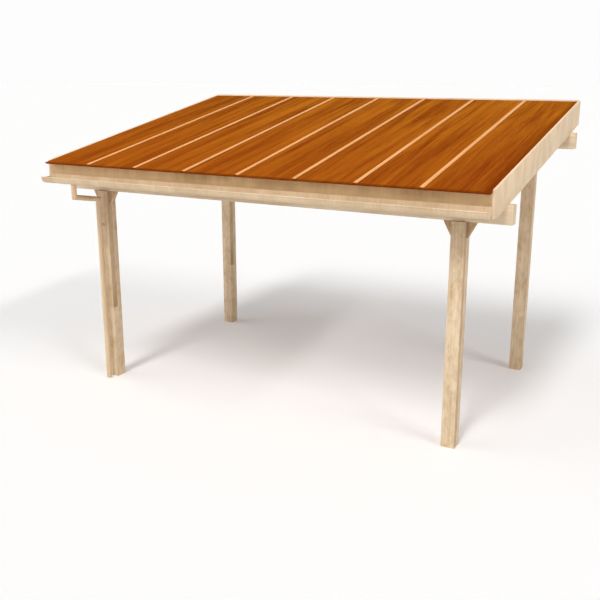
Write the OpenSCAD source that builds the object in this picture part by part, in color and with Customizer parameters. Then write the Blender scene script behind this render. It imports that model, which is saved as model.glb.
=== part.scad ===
// Open wooden canopy: four square posts carry two beams, and rafters notched over the beams
// carry a single-pitch roof of brown panels with pale cover strips. The roof falls to a
// half-round gutter at the front, drained by a downpipe on the front left post.
// Millimetres. +X runs along the gutter, +Y to the high back, +Z up.
// The origin is on the ground, under the middle of the whole plan.

/* [Plan] */
// Width of the roof over its side boards
roof_w = 5000; // [4600:10:5400]
// Distance from the post centres out to the sides of the roof
side_reach = 420; // [300:5:900]
// Distance between post centres from front to back
post_span_y = 2490; // [1600:10:3200]
// Reach of the rafters in front of the front post centres
front_reach = 405; // [300:5:700]
// Reach of the rafters behind the back post centres
back_reach = 385; // [200:5:600]
// Pitch of the roof in degrees
roof_pitch = 10.5; // [6:0.1:14]

/* [Posts and beams] */
// Side of a square post
post_w = 138; // [110:2:200]
// Height of the front posts, up to the front beam
front_post_h = 2210; // [1900:5:2600]
// Thickness of a beam
beam_t = 100; // [60:5:110]
// Height of a beam
beam_h = 178; // [120:2:240]
// Length of a beam end that shows past the side boards
beam_tail = 62; // [10:2:200]

/* [Braces] */
// Reach of a brace along the underside of its beam
brace_out = 86; // [60:2:180]
// Length of a brace down the side of its post
brace_down = 154; // [100:2:300]
// Width of the blunt ends of a brace
brace_nose = 7; // [4:1:30]
// Thickness of a brace
brace_t = 60; // [30:5:100]

/* [Rafters and boards] */
// Number of roof bays between the rafters
bays = 8; // [6:1:9]
// Thickness of a rafter
rafter_t = 63; // [40:1:90]
// Height of a rafter, square to the slope
rafter_h = 240; // [160:5:280]
// Depth of the rafter notches at the front face of a beam
notch_d = 20; // [18:1:50]
// Clearance between a notch and each side of its beam
notch_gap = 1; // [0.5:0.5:3]
// Height of the level cut under the front ends of the rafters and side boards
tail_cut = 25; // [5:1:30]
// Thickness of the side boards
side_board_t = 25; // [20:1:60]
// Height that the side boards stand above the panels, square to the slope
side_rise = 4; // [1:1:30]
// Thickness of the front fascia
fascia_t = 27; // [18:1:45]
// Height of the front fascia at its face
fascia_h = 205; // [180:5:260]
// Thickness of the back board
back_board_t = 25; // [20:1:60]
// Height that the back board stands above the panels, square to the slope
back_rise = 12; // [1:1:30]

/* [Roofing] */
// Thickness of a roof panel
panel_t = 20; // [12:1:40]
// Reach of the panels past the face of the fascia
panel_drip = 71; // [40:1:100]
// Joint between two neighbouring panels
panel_joint = 6; // [2:1:12]
// Width of a cover strip
strip_w = 40; // [25:1:70]
// Thickness of a cover strip
strip_t = 6; // [4:1:25]
// Distance from the front edge of the panels to the cover strips
strip_setback = 20; // [2:1:150]

/* [Gutter] */
// Outside diameter of the half-round gutter
gutter_d = 130; // [120:2:160]
// Wall thickness of the gutter
gutter_wall = 6; // [4:0.5:10]
// Diameter of the rounded lip along the front
lip_d = 14; // [11:1:20]
// Thickness of the rail at the back, between the trough and the fascia
rail_t = 12; // [8:1:50]
// Height of the rail above the rim
rail_up = 30; // [15:1:50]
// Depth of the rail below the rim
rail_down = 34; // [20:1:50]
// Height from the rim up to the underside of the panels at the fascia
rim_drop = 148; // [120:2:160]
// Distance from the sides of the roof to the gutter ends
gutter_inset = 18; // [0:1:60]

/* [Downpipe] */
// Outside diameter of the downpipe
pipe_d = 57; // [50:1:90]
// Wall thickness of the downpipe
pipe_wall = 3; // [2:0.5:6]
// Distance from the post to the back of the downpipe
pipe_stand = 44; // [15:1:90]
// Height from the underside of the gutter to the upper bend
outlet_drop = 136; // [100:1:200]
// Fall of the run from the gutter to the post, in degrees
run_fall = 10.5; // [5:0.5:30]
// Height of the open lower end above the ground
pipe_foot = 10; // [5:1:200]
// Clearance between the downpipe and what carries it
pipe_gap = 0.3; // [0.2:0.1:2]
// Width of a pipe clip
clip_w = 24; // [16:1:40]
// Height of a pipe clip
clip_h = 30; // [20:1:60]
// Depth of the hollow in a pipe clip that holds the back of the downpipe
clip_grip = 6; // [4:1:12]
// Height of the lower pipe clip above the ground
clip_low = 350; // [150:10:800]
// Distance from the top of the post down to the upper pipe clip
clip_drop = 400; // [300:10:900]

/* [Hidden] */
$fn = 96;

slope = tan(roof_pitch);
upright = 1 / cos(roof_pitch);

post_x = roof_w / 2 - side_reach;
front_row_y = -post_span_y / 2;
back_row_y = post_span_y / 2;
rafter_front_y = front_row_y - front_reach;
rafter_back_y = back_row_y + back_reach;
fascia_face_y = rafter_front_y - fascia_t;
gutter_y = fascia_face_y - rail_t - gutter_d / 2;
gutter_front_y = gutter_y - gutter_d / 2 - lip_d + gutter_wall;
board_back_y = rafter_back_y + back_board_t;
plan_middle_y = (gutter_front_y + board_back_y) / 2;

bay_w = roof_w / bays;
inner_half_w = roof_w / 2 - side_board_t;
beam_l = roof_w + 2 * beam_tail;
front_beam_top = front_post_h + beam_h;

// Heights of the roof layers over a given place from front to back
function rafter_foot(y) = front_beam_top - notch_d + slope * (y - front_row_y + beam_t / 2);
function rafter_top(y) = rafter_foot(y) + rafter_h * upright;
function rafter_x(i) = i * bay_w - roof_w / 2;

back_beam_top = rafter_foot(back_row_y - beam_t / 2) + notch_d;
back_post_h = back_beam_top - beam_h;

rim_z = rafter_top(fascia_face_y) - rim_drop;
upper_bend = [-post_x, gutter_y, rim_z - gutter_d / 2 - outlet_drop];
post_face_y = front_row_y - post_w / 2;
drop_y = post_face_y - pipe_stand - pipe_d / 2;
lower_bend = [upper_bend.x, drop_y, upper_bend.z - (drop_y - gutter_y) * tan(run_fall)];
mitre_turn = -(90 + run_fall) / 2;
cut = 4 * gutter_d;
past = 1;

rows = ["front", "back"];
sides = ["left", "right"];
ends = ["outer", "inner"];

timber = [0.86, 0.74, 0.57];
brown_panel = [0.62, 0.29, 0.07];
pale_strip = [0.93, 0.76, 0.56];

function row_y(row) = row == "front" ? front_row_y : back_row_y;
function side_sign(side) = side == "left" ? -1 : 1;
function row_post_h(row) = row == "front" ? front_post_h : back_post_h;

// Puts a shape that is drawn about the middle of the posts into the frame of the whole plan
module in_plan() translate([0, -plan_middle_y, 0]) children();

// Extrudes a side view, drawn as [y, z], from x = left to the right by a thickness
module side_view(left, thickness)
    translate([left, 0, 0]) rotate([90, 0, 90]) linear_extrude(thickness) children();

// Draws on the slope: x across, y up the slope from the rafters' front ends, z square to it
module on_slope()
    translate([0, rafter_front_y, rafter_top(rafter_front_y)]) rotate([roof_pitch, 0, 0]) children();

// The room that a beam takes, widened by a clearance on both sides
module beam_room(row, gap) {
    z = row_post_h(row);
    translate([-beam_l / 2, row_y(row) - beam_t / 2 - gap, z])
        cube([beam_l, beam_t + 2 * gap, beam_h]);
}

// A sloping board with plumb ends and a level cut in front, seated over both beams by flat notches
module notched_board(left, thickness, height, front_y, back_y) {
    tail_z = rafter_foot(front_y) + tail_cut;
    difference() {
        side_view(left, thickness) polygon([
            [front_y, tail_z],
            [front_y + tail_cut / slope, tail_z],
            [back_y, rafter_foot(back_y)],
            [back_y, rafter_foot(back_y) + height * upright],
            [front_y, rafter_foot(front_y) + height * upright]
        ]);
        for (row = rows) beam_room(row, notch_gap);
    }
}

module post(row, side) {
    color(timber) in_plan()
        translate([side_sign(side) * post_x - post_w / 2, row_y(row) - post_w / 2, 0])
            cube([post_w, post_w, row_post_h(row)]);
}

module beam(row) {
    color(timber) in_plan() beam_room(row, 0);
}

// A short solid brace in the corner between a post and its beam
module brace(row, side, end) {
    facing = side_sign(side) * (end == "outer" ? 1 : -1);
    color(timber) in_plan()
        translate([side_sign(side) * post_x + facing * post_w / 2, row_y(row), row_post_h(row)])
            rotate([90, 0, 0])
                linear_extrude(brace_t, center = true)
                    polygon([
                        [0, 0],
                        [facing * brace_out, 0],
                        [facing * brace_out, -brace_nose],
                        [facing * brace_nose, -brace_down],
                        [0, -brace_down]
                    ]);
}

module rafter(i) {
    left = rafter_x(i) - rafter_t / 2;
    color(timber) in_plan() notched_board(left, rafter_t, rafter_h, rafter_front_y, rafter_back_y);
}

module side_board(side) {
    left = side == "left" ? -roof_w / 2 : inner_half_w;
    height = rafter_h + panel_t + side_rise;
    color(timber) in_plan() notched_board(left, side_board_t, height, fascia_face_y, board_back_y);
}

// The front board across the rafter ends, between the side boards, bevelled to lie under the panels
module fascia() {
    foot_z = rafter_top(fascia_face_y) - fascia_h;
    color(timber) in_plan() side_view(-inner_half_w, 2 * inner_half_w) polygon([
        [fascia_face_y, foot_z],
        [rafter_front_y, foot_z],
        [rafter_front_y, rafter_top(rafter_front_y)],
        [fascia_face_y, rafter_top(fascia_face_y)]
    ]);
}

// The back board across the other rafter ends, which stops the panels and stands above them
module back_board() {
    foot_z = rafter_foot(rafter_back_y);
    cover = (panel_t + back_rise) * upright;
    color(timber) in_plan() side_view(-inner_half_w, 2 * inner_half_w) polygon([
        [rafter_back_y, foot_z],
        [board_back_y, foot_z],
        [board_back_y, rafter_top(board_back_y) + cover],
        [rafter_back_y, rafter_top(rafter_back_y) + cover]
    ]);
}

panel_foot = -(panel_drip + fascia_t) * upright;
panel_head = (rafter_back_y - rafter_front_y) * upright;

module roof_panel(i) {
    left = i == 1 ? -inner_half_w : rafter_x(i - 1) + panel_joint / 2;
    right = i == bays ? inner_half_w : rafter_x(i) - panel_joint / 2;
    color(brown_panel) in_plan() on_slope()
        translate([left, panel_foot, 0]) cube([right - left, panel_head - panel_foot, panel_t]);
}

module cover_strip(i) {
    foot = panel_foot + strip_setback;
    color(pale_strip) in_plan() on_slope()
        translate([rafter_x(i) - strip_w / 2, foot, panel_t])
            cube([strip_w, panel_head - foot, strip_t]);
}

// The lower half of a round, as a side view
module half_round(r) {
    difference() {
        circle(r);
        translate([-r, 0]) square(2 * r);
    }
}

// Half-round trough with a rounded lip in front, a rail against the fascia and closed ends
module gutter() {
    r = gutter_d / 2;
    end_x = roof_w / 2 - gutter_inset;
    color(timber) in_plan() difference() {
        translate([0, gutter_y, rim_z]) union() {
            side_view(-end_x, 2 * end_x) difference() {
                union() {
                    half_round(r);
                    translate([0, -rail_down]) square([r + rail_t, rail_down]);
                }
                circle(r - gutter_wall);
            }
            for (x = [-end_x, end_x - gutter_wall]) side_view(x, gutter_wall) half_round(r);
            translate([-end_x, r - gutter_wall, 0]) cube([2 * end_x, rail_t + gutter_wall, rail_up]);
            side_view(-end_x, 2 * end_x) translate([gutter_wall - r - lip_d / 2, 0]) circle(d = lip_d);
        }
        translate([upper_bend.x, gutter_y, rim_z - gutter_d])
            cylinder(d = pipe_d - 2 * pipe_wall, h = gutter_d - gutter_wall);
    }
}

// A length of pipe about the z axis
module pipe(length) {
    difference() {
        cylinder(d = pipe_d, h = length);
        translate([0, 0, -past]) cylinder(d = pipe_d - 2 * pipe_wall, h = length + 2 * past);
    }
}

// All that lies past a mitre plane through a bend, on the side that the angle points to
module past_mitre(bend, angle)
    translate(bend) rotate([angle, 0, 0]) translate([-cut / 2, 0, -cut / 2]) cube(cut);

// The spout under the gutter, cut to the gutter's round underside and mitred at its foot
module downpipe_outlet() {
    color(timber) in_plan() difference() {
        translate(upper_bend - [0, 0, pipe_d]) pipe(outlet_drop + pipe_d + gutter_d / 2);
        past_mitre(upper_bend, mitre_turn);
        translate([upper_bend.x - pipe_d, gutter_y, rim_z]) rotate([0, 90, 0])
            cylinder(r = gutter_d / 2 + pipe_gap, h = 2 * pipe_d);
    }
}

// The falling run from the gutter back to the post
module downpipe_offset() {
    run = (drop_y - gutter_y) / cos(run_fall);
    color(timber) in_plan() difference() {
        translate(upper_bend) rotate([-90 - run_fall, 0, 0])
            translate([0, 0, -pipe_d]) pipe(run + 2 * pipe_d);
        past_mitre(upper_bend, mitre_turn + 180);
        past_mitre(lower_bend, mitre_turn);
    }
}

// The straight length down the front of the post
module downpipe_drop() {
    color(timber) in_plan() difference() {
        translate([lower_bend.x, lower_bend.y, pipe_foot]) pipe(lower_bend.z + pipe_d - pipe_foot);
        past_mitre(lower_bend, mitre_turn + 180);
    }
}

// The two clips that hold the downpipe off the post, each hollowed to the pipe's back
module pipe_clips() {
    hold_y = drop_y + pipe_d / 2 - clip_grip;
    hollow_d = pipe_d + 2 * pipe_gap;
    color(timber) in_plan() for (z = [clip_low, front_post_h - clip_drop]) difference() {
        translate([lower_bend.x - clip_w / 2, hold_y, z]) cube([clip_w, post_face_y - hold_y, clip_h]);
        translate([lower_bend.x, drop_y, z - past]) cylinder(d = hollow_d, h = clip_h + 2 * past);
    }
}

for (row = rows, side = sides)
    post(row, side);
for (row = rows)
    beam(row);
for (row = rows, side = sides, end = ends)
    brace(row, side, end);
for (i = [1 : bays - 1])
    rafter(i);
for (side = sides)
    side_board(side);
fascia();
back_board();
for (i = [1 : bays])
    roof_panel(i);
for (i = [1 : bays - 1])
    cover_strip(i);
gutter();
downpipe_outlet();
downpipe_offset();
downpipe_drop();
pipe_clips();
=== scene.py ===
# %% [markdown]
# # A wooden canopy
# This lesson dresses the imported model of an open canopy: four square posts, two beams, notched
# rafters, a red-brown roof with pale cover strips, a half-round gutter and its downpipe.
# The model is loaded first and never changed. It gives every place and size, in metres.
# +X runs along the gutter, +Y to the high back and +Z up.

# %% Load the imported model
import math

import bmesh
import bpy
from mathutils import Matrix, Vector


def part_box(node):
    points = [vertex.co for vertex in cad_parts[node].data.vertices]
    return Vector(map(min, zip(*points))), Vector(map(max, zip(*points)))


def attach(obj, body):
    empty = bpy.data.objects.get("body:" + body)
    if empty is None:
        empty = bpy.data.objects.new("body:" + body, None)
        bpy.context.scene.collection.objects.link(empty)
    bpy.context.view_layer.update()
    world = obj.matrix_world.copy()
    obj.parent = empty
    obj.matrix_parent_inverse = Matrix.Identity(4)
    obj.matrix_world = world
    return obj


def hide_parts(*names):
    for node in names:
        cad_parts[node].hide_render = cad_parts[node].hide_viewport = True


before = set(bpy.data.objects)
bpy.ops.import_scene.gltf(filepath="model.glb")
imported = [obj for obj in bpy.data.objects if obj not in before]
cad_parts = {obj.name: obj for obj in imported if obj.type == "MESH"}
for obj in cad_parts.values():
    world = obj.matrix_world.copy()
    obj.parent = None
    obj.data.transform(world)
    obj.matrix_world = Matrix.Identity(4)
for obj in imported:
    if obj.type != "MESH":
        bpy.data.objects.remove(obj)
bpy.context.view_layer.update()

# %% [markdown]
# ## The camera
# The photograph looks down at the canopy from the front right. The camera's place, turn and
# lens come from lines of known size on the object, so the render falls on the photograph.

# %% Set the camera
CAMERA_PLACE = (4.3645, -8.3796, 3.5131)
CAMERA_TURN = 28.62
CAMERA_PITCH = 15.41
CAMERA_LENS = 49.911
CAMERA_SENSOR = 36

bpy.ops.object.camera_add(
    location=CAMERA_PLACE,
    rotation=(math.radians(90 - CAMERA_PITCH), 0, math.radians(CAMERA_TURN)),
)
camera = bpy.context.object
camera.name = "photo_camera"
camera.data.sensor_width = CAMERA_SENSOR
camera.data.lens = CAMERA_LENS
bpy.context.scene.camera = camera
print("camera", camera.name, "lens", round(camera.data.lens, 2))

# %% [markdown]
# ## Writing shaders as sums
# A finish is a network of small nodes. Wiring hundreds of them by name is slow to read, so one
# class wraps an output socket. A sum on it adds a Math node, and any other node comes from its
# `make` method, which sets the node's settings first and its sockets after that.

# %% A socket that takes part in sums
class Wire:
    """An output socket of a shader tree."""

    def __init__(self, tree, socket=None):
        self.tree = tree
        self.socket = socket

    def make(self, kind, settings=None, inputs=None, output=0):
        """Add a node with its settings, then the values or wires of its sockets."""
        node = self.tree.nodes.new("ShaderNode" + kind)
        for name, value in (settings or {}).items():
            setattr(node, name, value)
        for name, value in (inputs or {}).items():
            if isinstance(value, Wire):
                self.tree.links.new(value.socket, node.inputs[name])
            else:
                node.inputs[name].default_value = value
        return Wire(self.tree, node.outputs[output] if node.outputs else None)

    def other(self, output):
        """Another output of the same node."""
        return Wire(self.tree, self.socket.node.outputs[output])

    def maths(self, operation, *values):
        return self.make("Math", {"operation": operation}, dict(enumerate(values)))

    def __add__(self, value):
        return self.maths("ADD", self, value)

    __radd__ = __add__

    def __sub__(self, value):
        return self.maths("SUBTRACT", self, value)

    def __rsub__(self, value):
        return self.maths("SUBTRACT", value, self)

    def __mul__(self, value):
        return self.maths("MULTIPLY", self, value)

    __rmul__ = __mul__

    def __truediv__(self, value):
        return self.maths("DIVIDE", self, value)

    def __gt__(self, value):
        return self.maths("GREATER_THAN", self, value)

    def __lt__(self, value):
        return self.maths("LESS_THAN", self, value)

    def rise(self, low, high):
        """0 below low, 1 above high, and a smooth rise between them."""
        settings = {"interpolation_type": "SMOOTHSTEP"}
        return self.make("MapRange", settings, {"Value": self, "From Min": low, "From Max": high})

    def stretched(self, scale):
        """A vector with each axis scaled."""
        return self.make("VectorMath", {"operation": "MULTIPLY"}, {0: self, 1: scale})

    def moved(self, shift):
        """A vector moved by another vector."""
        return self.make("VectorMath", {"operation": "ADD"}, {0: self, 1: shift})

    def noise(self, detail=3.0, roughness=0.55, distortion=0.0):
        """Soft noise of a vector, about 0.5, with features one unit long."""
        inputs = {"Vector": self, "Scale": 1.0, "Detail": detail, "Roughness": roughness}
        inputs["Distortion"] = distortion
        return self.make("TexNoise", {"noise_dimensions": "3D"}, inputs)

    def mixed(self, first, second):
        """A colour that goes from first to second as this value goes from 0 to 1."""
        factor, colour_a, colour_b, result = 0, 6, 7, 2
        inputs = {factor: self, colour_a: first, colour_b: second}
        return self.make("Mix", {"data_type": "RGBA"}, inputs, result)


def tone(red, green, blue):
    """A colour given as a screen shows it, 0 to 255, in the linear numbers of a shader."""
    def linear(value):
        value /= 255
        return value / 12.92 if value <= 0.04045 else ((value + 0.055) / 1.055) ** 2.4
    return (linear(red), linear(green), linear(blue), 1.0)


print("pale timber in linear numbers", [round(v, 3) for v in tone(222, 199, 168)])

# %% [markdown]
# ## Starting and closing a finish
# Every finish starts from the object's own coordinates, which are metres in the shared frame,
# and ends in one shader with a colour, a roughness and a shallow bump.

# %% Two ends of every finish
def new_finish(name):
    """An empty material: itself, the wire that starts its nodes, and the object's coordinates."""
    material = bpy.data.materials.new(name)
    material.use_nodes = True
    material.node_tree.nodes.clear()
    start = Wire(material.node_tree)
    return material, start, start.make("TexCoord", output="Object")


def close_finish(start, colour, roughness, height, relief, gloss, metal=0.0):
    """Join the shader's sockets. Relief is the depth of the bump in metres."""
    normal = start.make("Bump", None, {"Strength": 1.0, "Distance": relief, "Height": height})
    shader = start.make("BsdfPrincipled", None, {
        "Base Color": colour, "Roughness": roughness, "Normal": normal,
        "Specular IOR Level": gloss, "Metallic": metal})
    start.make("OutputMaterial", None, {"Surface": shader})


print("materials before the dressing", len(bpy.data.materials))

# %% [markdown]
# ## Studio light
# The photograph is lit softly on a white floor, and the shadows there tell where the lamps are.
# One in front throws the roof's shadow to the back, and a weaker one on the right throws it to the
# left. In both shadows the roof's sides have sharper edges than its front and back, so each lamp
# is a long strip that runs from front to back. A low wide lamp on the left lights the boards
# under the roof's edge, and hardly throws a shadow. A strip is made as a row of suns, because
# suns give even light over a building.

# %% Place the lamps
FRONT_LAMP = {
    "first": (-0.03, 0.55, -1.0), "last": (-0.03, 1.08, -1.0),
    "suns": 5, "level": 0.46, "softness": 12,
}
RIGHT_LAMP = {
    "first": (-1.17, 0.11, -1.0), "last": (-1.17, 0.65, -1.0),
    "suns": 7, "level": 0.235, "softness": 4,
}
LEFT_LAMP = {
    "first": (3.4, 0.6, -1.0), "last": (2.2, 2.2, -1.0),
    "suns": 3, "level": 0.47, "softness": 60,
}
LAMP_HEIGHT = 8


def strip_lamp(name, first, last, suns, level, softness):
    """A row of suns, whose light travels from a first to a last direction.

    Together they make a white surface that faces the row level bright.
    """
    for i in range(suns):
        travel = Vector(first).lerp(Vector(last), i / (suns - 1))
        bpy.ops.object.light_add(type="SUN", location=(0, 0, LAMP_HEIGHT))
        lamp = bpy.context.object
        lamp.name = f"{name}_{i + 1}"
        lamp.rotation_euler = travel.to_track_quat("-Z", "Y").to_euler()
        lamp.data.energy = level / suns * math.pi
        lamp.data.angle = math.radians(softness)


strip_lamp("front_lamp", **FRONT_LAMP)
strip_lamp("right_lamp", **RIGHT_LAMP)
strip_lamp("left_lamp", **LEFT_LAMP)

# %% [markdown]
# ## The sky
# The sky fills in what the lamps leave dark. It is brighter at the horizon and on the right, as
# white studio walls are. Lamps and sky together light a level surface about as bright as it is
# painted. The camera alone sees a plain near-white backdrop, so the light stays as it is.

# %% Set the sky
WHITE = (1, 1, 1, 1)
ZENITH = 0.20
HORIZON = 0.78
RIGHT_GLOW = 0.35
BACKDROP = 0.98


def seen_ray(start):
    """1 for the rays that show a surface to the camera, directly, in a mirror or through glass."""
    path = start.make("LightPath", output="Is Camera Ray")
    seen = path.maths("MAXIMUM", path, path.other("Is Glossy Ray"))
    return seen.maths("MAXIMUM", seen, path.other("Is Transmission Ray"))


world = bpy.context.scene.world or bpy.data.worlds.new("studio")
bpy.context.scene.world = world
world.use_nodes = True
world.node_tree.nodes.clear()
sky = Wire(world.node_tree)
direction = sky.make("TexCoord", output="Generated")
to_right = sky.make("SeparateXYZ", None, {0: direction}, "X")
low_down = 1 - to_right.maths("ABSOLUTE", to_right.other("Z"))
glow = (ZENITH + low_down * low_down * (HORIZON - ZENITH)) * (1 + to_right * RIGHT_GLOW)
strength = glow + seen_ray(sky) * (BACKDROP - glow)
backdrop = sky.make("Background", None, {"Color": WHITE, "Strength": strength})
sky.make("OutputWorld", None, {"Surface": backdrop})
bpy.context.scene.view_settings.view_transform = "Standard"
print("sky from", HORIZON, "at the horizon to", ZENITH, "overhead")

# %% [markdown]
# ## The floor
# A plain white floor, wide enough to meet the backdrop far behind the canopy. It is lifted a
# little towards white for the camera alone, as a studio does when it prints on white paper, and
# it keeps the shadows. It isn't part of the object.

# %% Lay the floor
FLOOR_SIZE = 400
FLOOR_WHITE = (0.95, 0.945, 0.94, 1)
FLOOR_LIFT = 0.09

bpy.ops.mesh.primitive_plane_add(size=FLOOR_SIZE)
floor = bpy.context.object
floor.name = "studio_floor"
floor_paint, start, _ = new_finish("floor_paint")
matt = start.make("BsdfDiffuse", None, {"Color": FLOOR_WHITE})
lift = start.make("Emission", None, {"Color": WHITE, "Strength": seen_ray(start) * FLOOR_LIFT})
paint = start.make("AddShader", None, {0: matt, 1: lift})
start.make("OutputMaterial", None, {"Surface": paint})
floor.data.materials.append(floor_paint)
print("floor", FLOOR_SIZE, "m wide")

# %% [markdown]
# ## Planed timber
# Sawn timber is planed and its sharp edges are eased, so light catches a thin line along them.
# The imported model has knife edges. A copy of each piece is welded, its flat faces are joined,
# and the bevel tool rounds the outer edges only, because an inner corner of a notch stays square.
# The copy then stands for the model's own node.

# %% A helper for planed pieces
WELD = 0.00001
FLAT = math.radians(0.5)
SHARP = math.radians(30)
UPWARD = math.cos(math.radians(30))


def edit_copy(node, name):
    """A welded copy of a node's mesh, open in edit mode with everything selected."""
    bpy.ops.object.select_all(action="DESELECT")
    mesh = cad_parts[node].data.copy()
    piece = bpy.data.objects.new(name, mesh)
    bpy.context.scene.collection.objects.link(piece)
    bpy.context.view_layer.objects.active = piece
    piece.select_set(True)
    bpy.ops.mesh.customdata_custom_splitnormals_clear()
    bpy.ops.object.mode_set(mode="EDIT")
    bpy.ops.mesh.select_mode(type="EDGE")
    bpy.ops.mesh.select_all(action="SELECT")
    bpy.ops.mesh.remove_doubles(threshold=WELD)
    return piece


def dress(piece, node, finish):
    """Give a piece its finish, put it in a node's place and let it ride with the frame."""
    piece.data.materials.clear()
    piece.data.materials.append(finish)
    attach(piece, "root")
    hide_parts(node)


def bevel_where(piece, wanted, width, segments):
    """Bevel the edges of a piece in edit mode that a test picks out."""
    bpy.ops.mesh.select_all(action="DESELECT")
    edit = bmesh.from_edit_mesh(piece.data)
    for edge in edit.edges:
        edge.select_set(wanted(edge))
    bmesh.update_edit_mesh(piece.data)
    bpy.ops.mesh.bevel(offset=width, segments=segments, affect="EDGES")


def outer_edge(edge):
    """True for an edge that stands out and isn't nearly flat."""
    return edge.is_convex and edge.calc_face_angle(0) > SHARP


def planed(node, ease, finish, top=None, undercut=0):
    """A piece of timber in place of a node: outer edges eased, and a finish of its own on top."""
    piece = edit_copy(node, node + "_planed")
    bpy.ops.mesh.dissolve_limited(angle_limit=FLAT)
    if undercut:
        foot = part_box(node)[0].z + WELD
        bevel_where(piece, lambda edge: all(v.co.z < foot for v in edge.verts), undercut, segments=1)
    bevel_where(piece, outer_edge, ease, segments=2)
    bpy.ops.object.mode_set(mode="OBJECT")
    bpy.ops.object.shade_smooth_by_angle(angle=SHARP)
    dress(piece, node, finish)
    if top:
        piece.data.materials.append(top)
        for face in piece.data.polygons:
            face.material_index = int(face.normal.z > UPWARD)
    return piece


print("edges over", round(math.degrees(SHARP)), "degrees are eased")

# %% [markdown]
# ## The posts' finish
# The posts are glued up from long pale staves of differing tone, with fine upright grain and
# soft brown blotches. Cells of noise pick a tone for each stave: a cell is one stave wide, and
# as long as a stave, and each column of them is shifted by its own amount. A dark band is laid
# down the front of the right face of each post: on the left posts only over its upper part,
# where it darkens towards its lower end.

# %% Mix the posts' finish
left_low, left_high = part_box("post_front_left")
back_low, back_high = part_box("post_back_right")
POST_W = left_high.x - left_low.x
POST_X = -(left_low.x + left_high.x) / 2
FRONT_ROW = (left_low.y + left_high.y) / 2
BACK_ROW = (back_low.y + back_high.y) / 2
ROW_MIDDLE = (FRONT_ROW + BACK_ROW) / 2
STAVE_W = POST_W / 3
STAVE_L = 1.3
SIDE_STEP = 7
ROW_STEP = 5
FIRST_STAVE = 3
CELL_INSET = 0.98
THREAD_RATIO = 6
POST_EASE = 0.004
LEFT_BAND_EDGE = -0.002
RIGHT_BAND_EDGE = -0.12 * POST_W
DARK_BAND_FOOT = 0.85
DARK_BAND_FADE = 0.35


def cells(value, count_from, width):
    """The number of the cell that a value falls in."""
    return value.maths("FLOOR", (value - count_from) / width)


def random_of(start, x, y, z):
    """A number from 0 to 1 for each set of three cell numbers."""
    vector = start.make("CombineXYZ", None, {"X": x, "Y": y, "Z": z})
    return start.make("TexWhiteNoise", {"noise_dimensions": "3D"}, {"Vector": vector})


def threads(place, fibres):
    """Single fibres: noise much finer than the grain, from -0.5 to 0.5."""
    return place.stretched([THREAD_RATIO * count for count in fibres]).noise(2).rise(0.35, 0.65) - 0.5


def post_finish():
    """Upright staves: each post counts them from numbers of its own, and its faces lie inside them."""
    material, start, place = new_finish("stave_timber")
    x = place.make("SeparateXYZ", None, {0: place})
    y, z = x.other("Y"), x.other("Z")
    side = x.maths("SIGN", x)
    row = y.maths("SIGN", y - ROW_MIDDLE)
    across = x - side * POST_X
    depth = y - ROW_MIDDLE - row * ((BACK_ROW - FRONT_ROW) / 2)

    column = cells(across * CELL_INSET, -POST_W / 2, STAVE_W) + side * SIDE_STEP
    layer = cells(depth * CELL_INSET, -POST_W / 2, STAVE_W) + row * ROW_STEP
    shift = random_of(start, column, layer, 0.0)
    stave = cells(z + shift * STAVE_L, 0.0, STAVE_L)
    stave_tone = random_of(start, column, layer, stave + FIRST_STAVE)

    fibres = (85, 85, 3.5)
    grain = place.stretched(fibres).noise(4)
    blotch = place.stretched((20, 20, 11)).noise(2).rise(0.40, 0.74)
    cloud = place.stretched((7, 7, 3.4)).noise(2).rise(0.35, 0.65)
    brown = grain.rise(0.32, 0.76) * 0.30 + cloud * 0.22 + stave_tone * 0.20 + blotch * 0.30
    brown = brown + threads(place, fibres) * 0.16
    colour = brown.mixed(tone(232, 211, 180), tone(184, 152, 112))

    right_face = across > POST_W / 2 - POST_EASE
    left_dark = (side < 0) * (depth < LEFT_BAND_EDGE) * (z > DARK_BAND_FOOT)
    right_dark = (side > 0) * (depth < RIGHT_BAND_EDGE)
    near_foot = 1 - z.rise(DARK_BAND_FOOT, DARK_BAND_FOOT + DARK_BAND_FADE)
    dark = right_face * (left_dark * (0.42 + near_foot * 0.45) + right_dark * 0.45)
    colour = dark.mixed(colour, tone(168, 134, 94))

    close_finish(start, colour, 0.52 + grain * 0.2, grain, relief=0.0006, gloss=0.25)
    return material


stave_timber = post_finish()
posts = [planed(f"post_{row}_{side}", POST_EASE, stave_timber)
         for row in ("front", "back") for side in ("left", "right")]
print("posts", len(posts), "width", round(POST_W, 3))

# %% [markdown]
# ## Timber with its grain along the piece
# The beams, braces, rafters and boards are of the same pale timber, each with the grain along
# its own length. The braces are painted darker, as painted shade, because they stand in the shade
# under the beams. One function makes the finish for a grain direction: the noise is stretched
# along it, so that it reads as fibres, and a wider noise gives slow changes of tone. The beams
# run out past the roof, so their sawn ends show, and there the year rings curve about a pith
# that lies below the beam.

# %% A finish for a grain direction
ROOF_PITCH = math.atan2(
    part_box("roof_panel_1")[1].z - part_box("roof_panel_1")[0].z,
    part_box("roof_panel_1")[1].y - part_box("roof_panel_1")[0].y,
)
RING_DEPTH = 0.45


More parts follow.
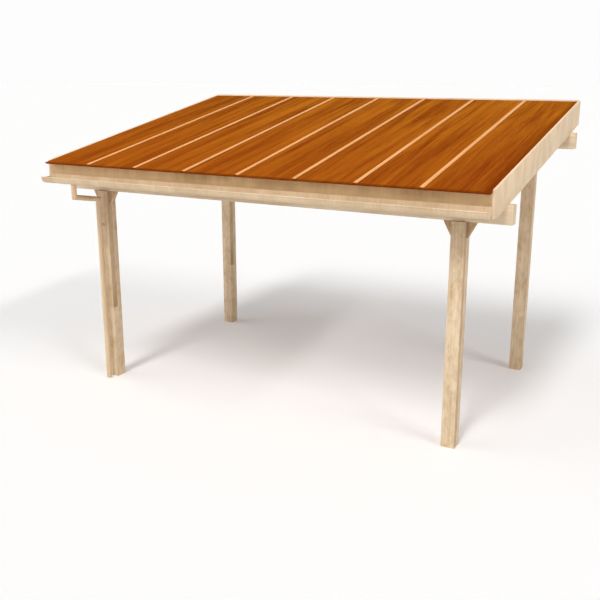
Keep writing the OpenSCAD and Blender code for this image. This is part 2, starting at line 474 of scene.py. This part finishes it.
def timber_finish(name, fibres, figure, pale, brown, tilt=0.0, rings=None):
    """Timber with fine fibres and a broad figure, given as changes in a metre along each axis.

    Tilt turns the grain onto the roof's slope, and rings draws year rings on sawn ends.
    """
    material, start, place = new_finish(name)
    if tilt:
        place = place.make("Mapping", None, {"Vector": place, "Rotation": (-tilt, 0, 0)})
    grain = place.stretched(fibres).noise(4)
    cloud = place.stretched(figure).noise(2).rise(0.32, 0.68)
    depth = grain.rise(0.32, 0.76) * 0.36 + cloud * 0.48 + threads(place, fibres) * 0.20
    colour = depth.mixed(pale, brown)
    if rings:
        colour = (rings(place) * RING_DEPTH).mixed(colour, brown)
    close_finish(start, colour, 0.5 + grain * 0.22, grain, relief=0.0005, gloss=0.25)
    return material


PALE = tone(238, 219, 192)
BROWN = tone(203, 173, 136)

front_low, front_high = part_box("beam_front")
BEAM_END = front_high.x
BEAM_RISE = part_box("beam_back")[0].z - front_low.z
END_SKIN = 0.001
PITH_DROP = 0.05
RING = 0.009


def beam_rings(place):
    """Year rings on the ends of both beams, and nothing elsewhere."""
    x = place.make("SeparateXYZ", None, {0: place})
    y, z = x.other("Y"), x.other("Z")
    back = y > ROW_MIDDLE
    out = y - FRONT_ROW - back * (BACK_ROW - FRONT_ROW)
    up = z - (front_low.z - PITH_DROP) - back * BEAM_RISE
    radius = x.maths("SQRT", out * out + up * up) + place.stretched((9, 9, 9)).noise(2) * RING
    wave = x.maths("SINE", radius * (2 * math.pi / RING)) * 0.5 + 0.5
    sawn = x.maths("ABSOLUTE", x) > BEAM_END - END_SKIN
    return wave * wave * sawn


beam_timber = timber_finish("beam_timber", (3, 80, 80), (1.4, 7, 7), PALE, BROWN, rings=beam_rings)
# The braces' darker tones are painted shade, for the shade under the beams.
shaded_brace_timber = timber_finish("shaded_brace_timber", (60, 60, 6), (7, 7, 3),
                             tone(208, 178, 140), tone(166, 130, 90))
slope_timber = timber_finish("slope_timber", (80, 3, 80), (7, 1.6, 7), PALE, BROWN, ROOF_PITCH)
side_timber = timber_finish("side_timber", (40, 45, 7), (4, 5, 3),
                            tone(236, 212, 179), tone(212, 182, 145))
# Painted light: a lighter tone for the upward faces of the side boards and the back board.
lit_top_timber = timber_finish("lit_top_timber", (90, 4, 90), (10, 1.5, 10),
                            tone(252, 218, 182), tone(244, 204, 162), ROOF_PITCH)
print("roof pitch", round(math.degrees(ROOF_PITCH), 2))

# %% [markdown]
# ## Beams, braces, rafters and side boards
# The beams are thick timbers with a wide eased edge, and the thinner pieces have a finer one. The
# side boards close the roof's ends. Their upper edge faces the sky, with the grain along the
# slope, and it has a lighter finish of its own: painted light, where the lamps fall on it.

# %% Plane the beams, braces, rafters and side boards
RAFTERS = 7
BEAM_EASE = 0.004
BOARD_EASE = 0.002

beams = [planed(f"beam_{row}", BEAM_EASE, beam_timber) for row in ("front", "back")]
braces = [planed(f"brace_{row}_{side}_{end}", BOARD_EASE, shaded_brace_timber)
          for row in ("front", "back") for side in ("left", "right") for end in ("outer", "inner")]
rafters = [planed(f"rafter_{i}", BOARD_EASE, slope_timber) for i in range(1, RAFTERS + 1)]
side_boards = [planed(f"side_board_{side}", BOARD_EASE, side_timber, top=lit_top_timber)
               for side in ("left", "right")]
print("beams", len(beams), "braces", len(braces))
print("rafters", len(rafters), "side boards", len(side_boards))

# %% [markdown]
# ## The fascia and the back board
# The fascia behind the gutter is browner than the posts. Low down, just above the gutter, its
# colour is darkened as painted shade. Its figure runs upright in fine streaks, with a darker
# patch in every bay or so.
# The back board is of the side boards' clean timber, and its upper edge has the same painted light.

# %% Mix the fascia's finish and plane both boards
FASCIA_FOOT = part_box("fascia")[0].z
# The painted shade on the fascia fades out between these two heights.
SHADE_LOW = FASCIA_FOOT + 0.05
SHADE_HIGH = FASCIA_FOOT + 0.19


def fascia_finish():
    """Upright streaks and patches, under painted shade low down that fades upwards."""
    material, start, place = new_finish("fascia_timber")
    height = place.make("SeparateXYZ", None, {0: place}, "Z")
    # Painted shade: 1 low down on the fascia, fading to 0 upwards.
    low_shade = 1 - height.rise(SHADE_LOW, SHADE_HIGH)
    fibres = (75, 20, 2.5)
    grain = place.stretched(fibres).noise(4)
    band = place.stretched((9, 3, 0.8)).noise(3).rise(0.34, 0.70)
    patch = place.stretched((2.0, 1, 4)).noise(2).rise(0.50, 0.68)
    depth = grain.rise(0.28, 0.80) * 0.18 + band * 0.24 + patch * 0.36
    depth = depth + threads(place, fibres) * 0.14
    colour = depth.mixed(tone(228, 194, 146), tone(166, 127, 80))
    # Lay the painted shade over the colour.
    colour = (low_shade * 0.72).mixed(colour, tone(176, 145, 105))
    close_finish(start, colour, 0.55 + grain * 0.2, grain, relief=0.0005, gloss=0.2)
    return material


fascia = planed("fascia", BOARD_EASE, fascia_finish())
back_board = planed("back_board", BOARD_EASE, side_timber, top=lit_top_timber)
print("fascia", fascia.name, "back board", back_board.name)

# %% [markdown]
# ## The roof panels
# Red-brown boards with long streaks down the slope. The coordinates are turned to lie on the
# slope, and each panel's are shifted by its number, so that no two panels share their figure.
# The edges are painted darker, as painted shade along the front edge and where the panels meet
# the right side board and the back board. The lower front edge is cut back at a slant, so that
# rain drips off into the gutter, and from the front the roof looks thin.

# %% Mix the panels' finish and plane the panels
PANELS = 8
roof_low, roof_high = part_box("roof_panel_1")
roof_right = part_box(f"roof_panel_{PANELS}")[1].x
BAY = 2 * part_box("side_board_right")[1].x / PANELS
SHIFT_X = 1.7
SHIFT_Y = 5.3
# Where the painted shade along the panels' edges fades out.
FRONT_EDGE = (roof_low.y + 0.01, roof_low.y + 0.04)
BACK_EDGE = (roof_high.y - 0.05, roof_high.y - 0.02)
RIGHT_EDGE = (roof_right - 0.09, roof_right - 0.02)


def panel_finish():
    """Streaks along the slope, redder to the front, with painted shade along the edges."""
    material, start, place = new_finish("brown_panel")
    x = place.make("SeparateXYZ", None, {0: place})
    y = x.other("Y")
    panel = cells(x, -BAY * PANELS / 2, BAY)
    sloped = place.make("Mapping", None, {"Vector": place, "Rotation": (-ROOF_PITCH, 0, 0)})
    shift = start.make("CombineXYZ", None, {"X": panel * SHIFT_X, "Y": panel * SHIFT_Y, "Z": 0.0})
    sloped = sloped.moved(shift)
    streak = sloped.stretched((9, 0.45, 2)).noise(3, 0.6, 0.4)
    fibres = (60, 1.3, 10)
    grain = sloped.stretched(fibres).noise(4, 0.6)
    depth = streak.rise(0.30, 0.72) * 0.66 + grain.rise(0.28, 0.78) * 0.40
    depth = depth + threads(sloped, fibres) * 0.26
    colour = depth.mixed(tone(202, 119, 29), tone(131, 57, 13))
    to_front = 1 - y.rise(roof_low.y, roof_high.y)
    colour = (to_front * 0.42).mixed(colour, tone(140, 54, 10))
    # Painted shade: darker along the front, right and back edges.
    front_edge_shade = 1 - y.rise(*FRONT_EDGE)
    back_edge_shade = y.rise(*BACK_EDGE)
    right_edge_shade = x.rise(*RIGHT_EDGE)
    edge = front_edge_shade.maths("MAXIMUM", front_edge_shade, right_edge_shade)
    edge = edge.maths("MAXIMUM", edge, back_edge_shade * 0.7)
    colour = (edge * 0.6).mixed(colour, tone(108, 42, 4))
    close_finish(start, colour, 0.5 + grain * 0.2, grain, relief=0.0004, gloss=0.0)
    return material


PANEL_EASE = 0.0015
DRIP_CUT = 0.013
brown_panel = panel_finish()
panels = [planed(f"roof_panel_{i}", PANEL_EASE, brown_panel, undercut=DRIP_CUT)
          for i in range(1, PANELS + 1)]
print("panels", len(panels), "bay", round(BAY, 3))

# %% [markdown]
# ## The cover strips
# Pale tan laths over the joints between the panels, with a little grain down the slope.

# %% Mix the strips' finish and plane the strips
STRIP_EASE = 0.0015
strip_timber = timber_finish("strip_timber", (90, 4, 90), (10, 1.5, 10),
                             tone(241, 178, 112), tone(227, 158, 92), ROOF_PITCH)
strips = [planed(f"cover_strip_{i}", STRIP_EASE, strip_timber) for i in range(1, PANELS)]
print("strips", len(strips))

# %% [markdown]
# ## The strips' screws
# Round-headed screws along the middle of each strip hold it down. They are too small for the
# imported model. One head is made from a cylinder: its rim is rounded, and a six-pointed socket is
# sunk into its top. The socket starts as a round inset, which is pinched between its points.

# %% Model one screw head
HEAD_R = 0.006
HEAD_RISE = 0.0022
HEAD_SUNK = 0.001
HEAD_SIDES = 24
HEAD_ROUND = 0.0014
SOCKET_RIM = 0.0016
SOCKET_DEPTH = 0.0015
SOCKET_POINTS = 6
BETWEEN_POINTS = -0.5
SOCKET_PINCH = (0.7, 0.7, 1.0)


def pick(piece, kind, wanted):
    """Select the faces or vertices of a piece in edit mode that a test picks out."""
    bpy.ops.mesh.select_mode(type=kind)
    bpy.ops.mesh.select_all(action="DESELECT")
    edit = bmesh.from_edit_mesh(piece.data)
    for element in edit.faces if kind == "FACE" else edit.verts:
        element.select_set(wanted(element))
    edit.select_flush_mode()
    bmesh.update_edit_mesh(piece.data)


bpy.ops.object.select_all(action="DESELECT")
bpy.ops.mesh.primitive_cylinder_add(
    vertices=HEAD_SIDES, radius=HEAD_R, depth=HEAD_RISE + HEAD_SUNK,
    location=(0, 0, (HEAD_RISE - HEAD_SUNK) / 2),
)
screw_head = bpy.context.object
bpy.ops.object.transform_apply(location=True, rotation=False, scale=False)
bpy.ops.object.mode_set(mode="EDIT")
bpy.ops.mesh.select_mode(type="EDGE")
bevel_where(screw_head, lambda edge: all(v.co.z > HEAD_RISE - WELD for v in edge.verts),
            HEAD_ROUND, segments=3)
pick(screw_head, "FACE", lambda face: face.calc_center_median().z > HEAD_RISE - WELD)
bpy.ops.mesh.inset(thickness=SOCKET_RIM)
socket_r = HEAD_R - HEAD_ROUND - SOCKET_RIM
pick(screw_head, "VERT", lambda v: v.co.xy.length < socket_r + WELD
     and math.cos(SOCKET_POINTS * math.atan2(v.co.y, v.co.x)) < BETWEEN_POINTS)
bpy.ops.transform.resize(value=SOCKET_PINCH)
pick(screw_head, "FACE", lambda face: face.calc_center_median().z > HEAD_RISE - WELD
     and face.calc_center_median().xy.length < WELD)
bpy.ops.mesh.extrude_region_move(TRANSFORM_OT_translate={"value": (0, 0, -SOCKET_DEPTH)})
bpy.ops.object.mode_set(mode="OBJECT")
bpy.ops.object.shade_smooth_by_angle(angle=SHARP)
print("screw head", len(screw_head.data.polygons), "faces")

# %% [markdown]
# ## Screws along a strip
# The head is copied along the middle of each strip's top face and tilted with the roof. The heads
# of one strip are joined in one piece, so that they are handled together.

# %% Drive the screws
SCREWS = 6
SCREW_MARGIN = 0.06


def screw_finish():
    """Dull bright steel with faint smears."""
    material, start, place = new_finish("screw_steel")
    smear = place.stretched((400, 400, 400)).noise(2)
    colour = smear.mixed(tone(214, 200, 180), tone(178, 166, 150))
    close_finish(start, colour, 0.34 + smear * 0.2, smear, relief=0.0001, gloss=0.5, metal=1.0)
    return material


def drive_screws(strip, name):
    """Screw heads along the middle of a strip, joined in one piece."""
    top = max(strip.data.polygons, key=lambda face: face.area * face.normal.z)
    corners = sorted((strip.data.vertices[i].co for i in top.vertices), key=lambda corner: corner.y)
    front = (corners[0] + corners[1]) / 2
    run = (corners[-1] + corners[-2]) / 2 - front
    bpy.ops.object.select_all(action="DESELECT")
    for i in range(SCREWS):
        head = screw_head.copy()
        head.data = screw_head.data.copy()
        along = SCREW_MARGIN + i / (SCREWS - 1) * (run.length - 2 * SCREW_MARGIN)
        head.location = front + run.normalized() * along
        head.rotation_euler.x = ROOF_PITCH
        bpy.context.scene.collection.objects.link(head)
        head.select_set(True)
        bpy.context.view_layer.objects.active = head
    bpy.ops.object.join()
    bpy.ops.object.transform_apply(location=True, rotation=True, scale=False)
    screws = bpy.context.object
    screws.name = name
    screws.data.materials.append(screw_steel)
    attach(screws, "root")
    return screws


screw_steel = screw_finish()
screws = [drive_screws(strip, f"strip_screws_{i}") for i, strip in enumerate(strips, 1)]
bpy.data.objects.remove(screw_head)
print("screws", len(screws) * SCREWS)

# %% [markdown]
# ## The gutter and the downpipe
# Their walls are thin and smooth, and finished to match the timber. The copies are only welded
# and smoothed, because their edges are already rounded or mitred. Two clips hold the downpipe
# off its post.

# %% Dress the gutter and the downpipe
def rounded(node, finish):
    """A welded, smoothly shaded copy of a round node."""
    piece = edit_copy(node, node + "_smooth")
    bpy.ops.object.mode_set(mode="OBJECT")
    bpy.ops.object.shade_smooth_by_angle(angle=SHARP)
    dress(piece, node, finish)
    return piece


CLIP_EASE = 0.0015
gutter_timber = timber_finish("gutter_timber", (60, 14, 3), (5, 2, 0.8),
                              tone(226, 202, 169), tone(201, 172, 135))
pipe_timber = timber_finish("pipe_timber", (60, 60, 3), (6, 6, 1.2),
                            tone(222, 195, 160), tone(196, 164, 126))
gutter = rounded("gutter", gutter_timber)
downpipe = [rounded(f"downpipe_{part}", pipe_timber) for part in ("outlet", "offset", "drop")]
clips = planed("pipe_clips", CLIP_EASE, pipe_timber)
print("gutter", gutter.name, "downpipe", len(downpipe), "clips", clips.name)
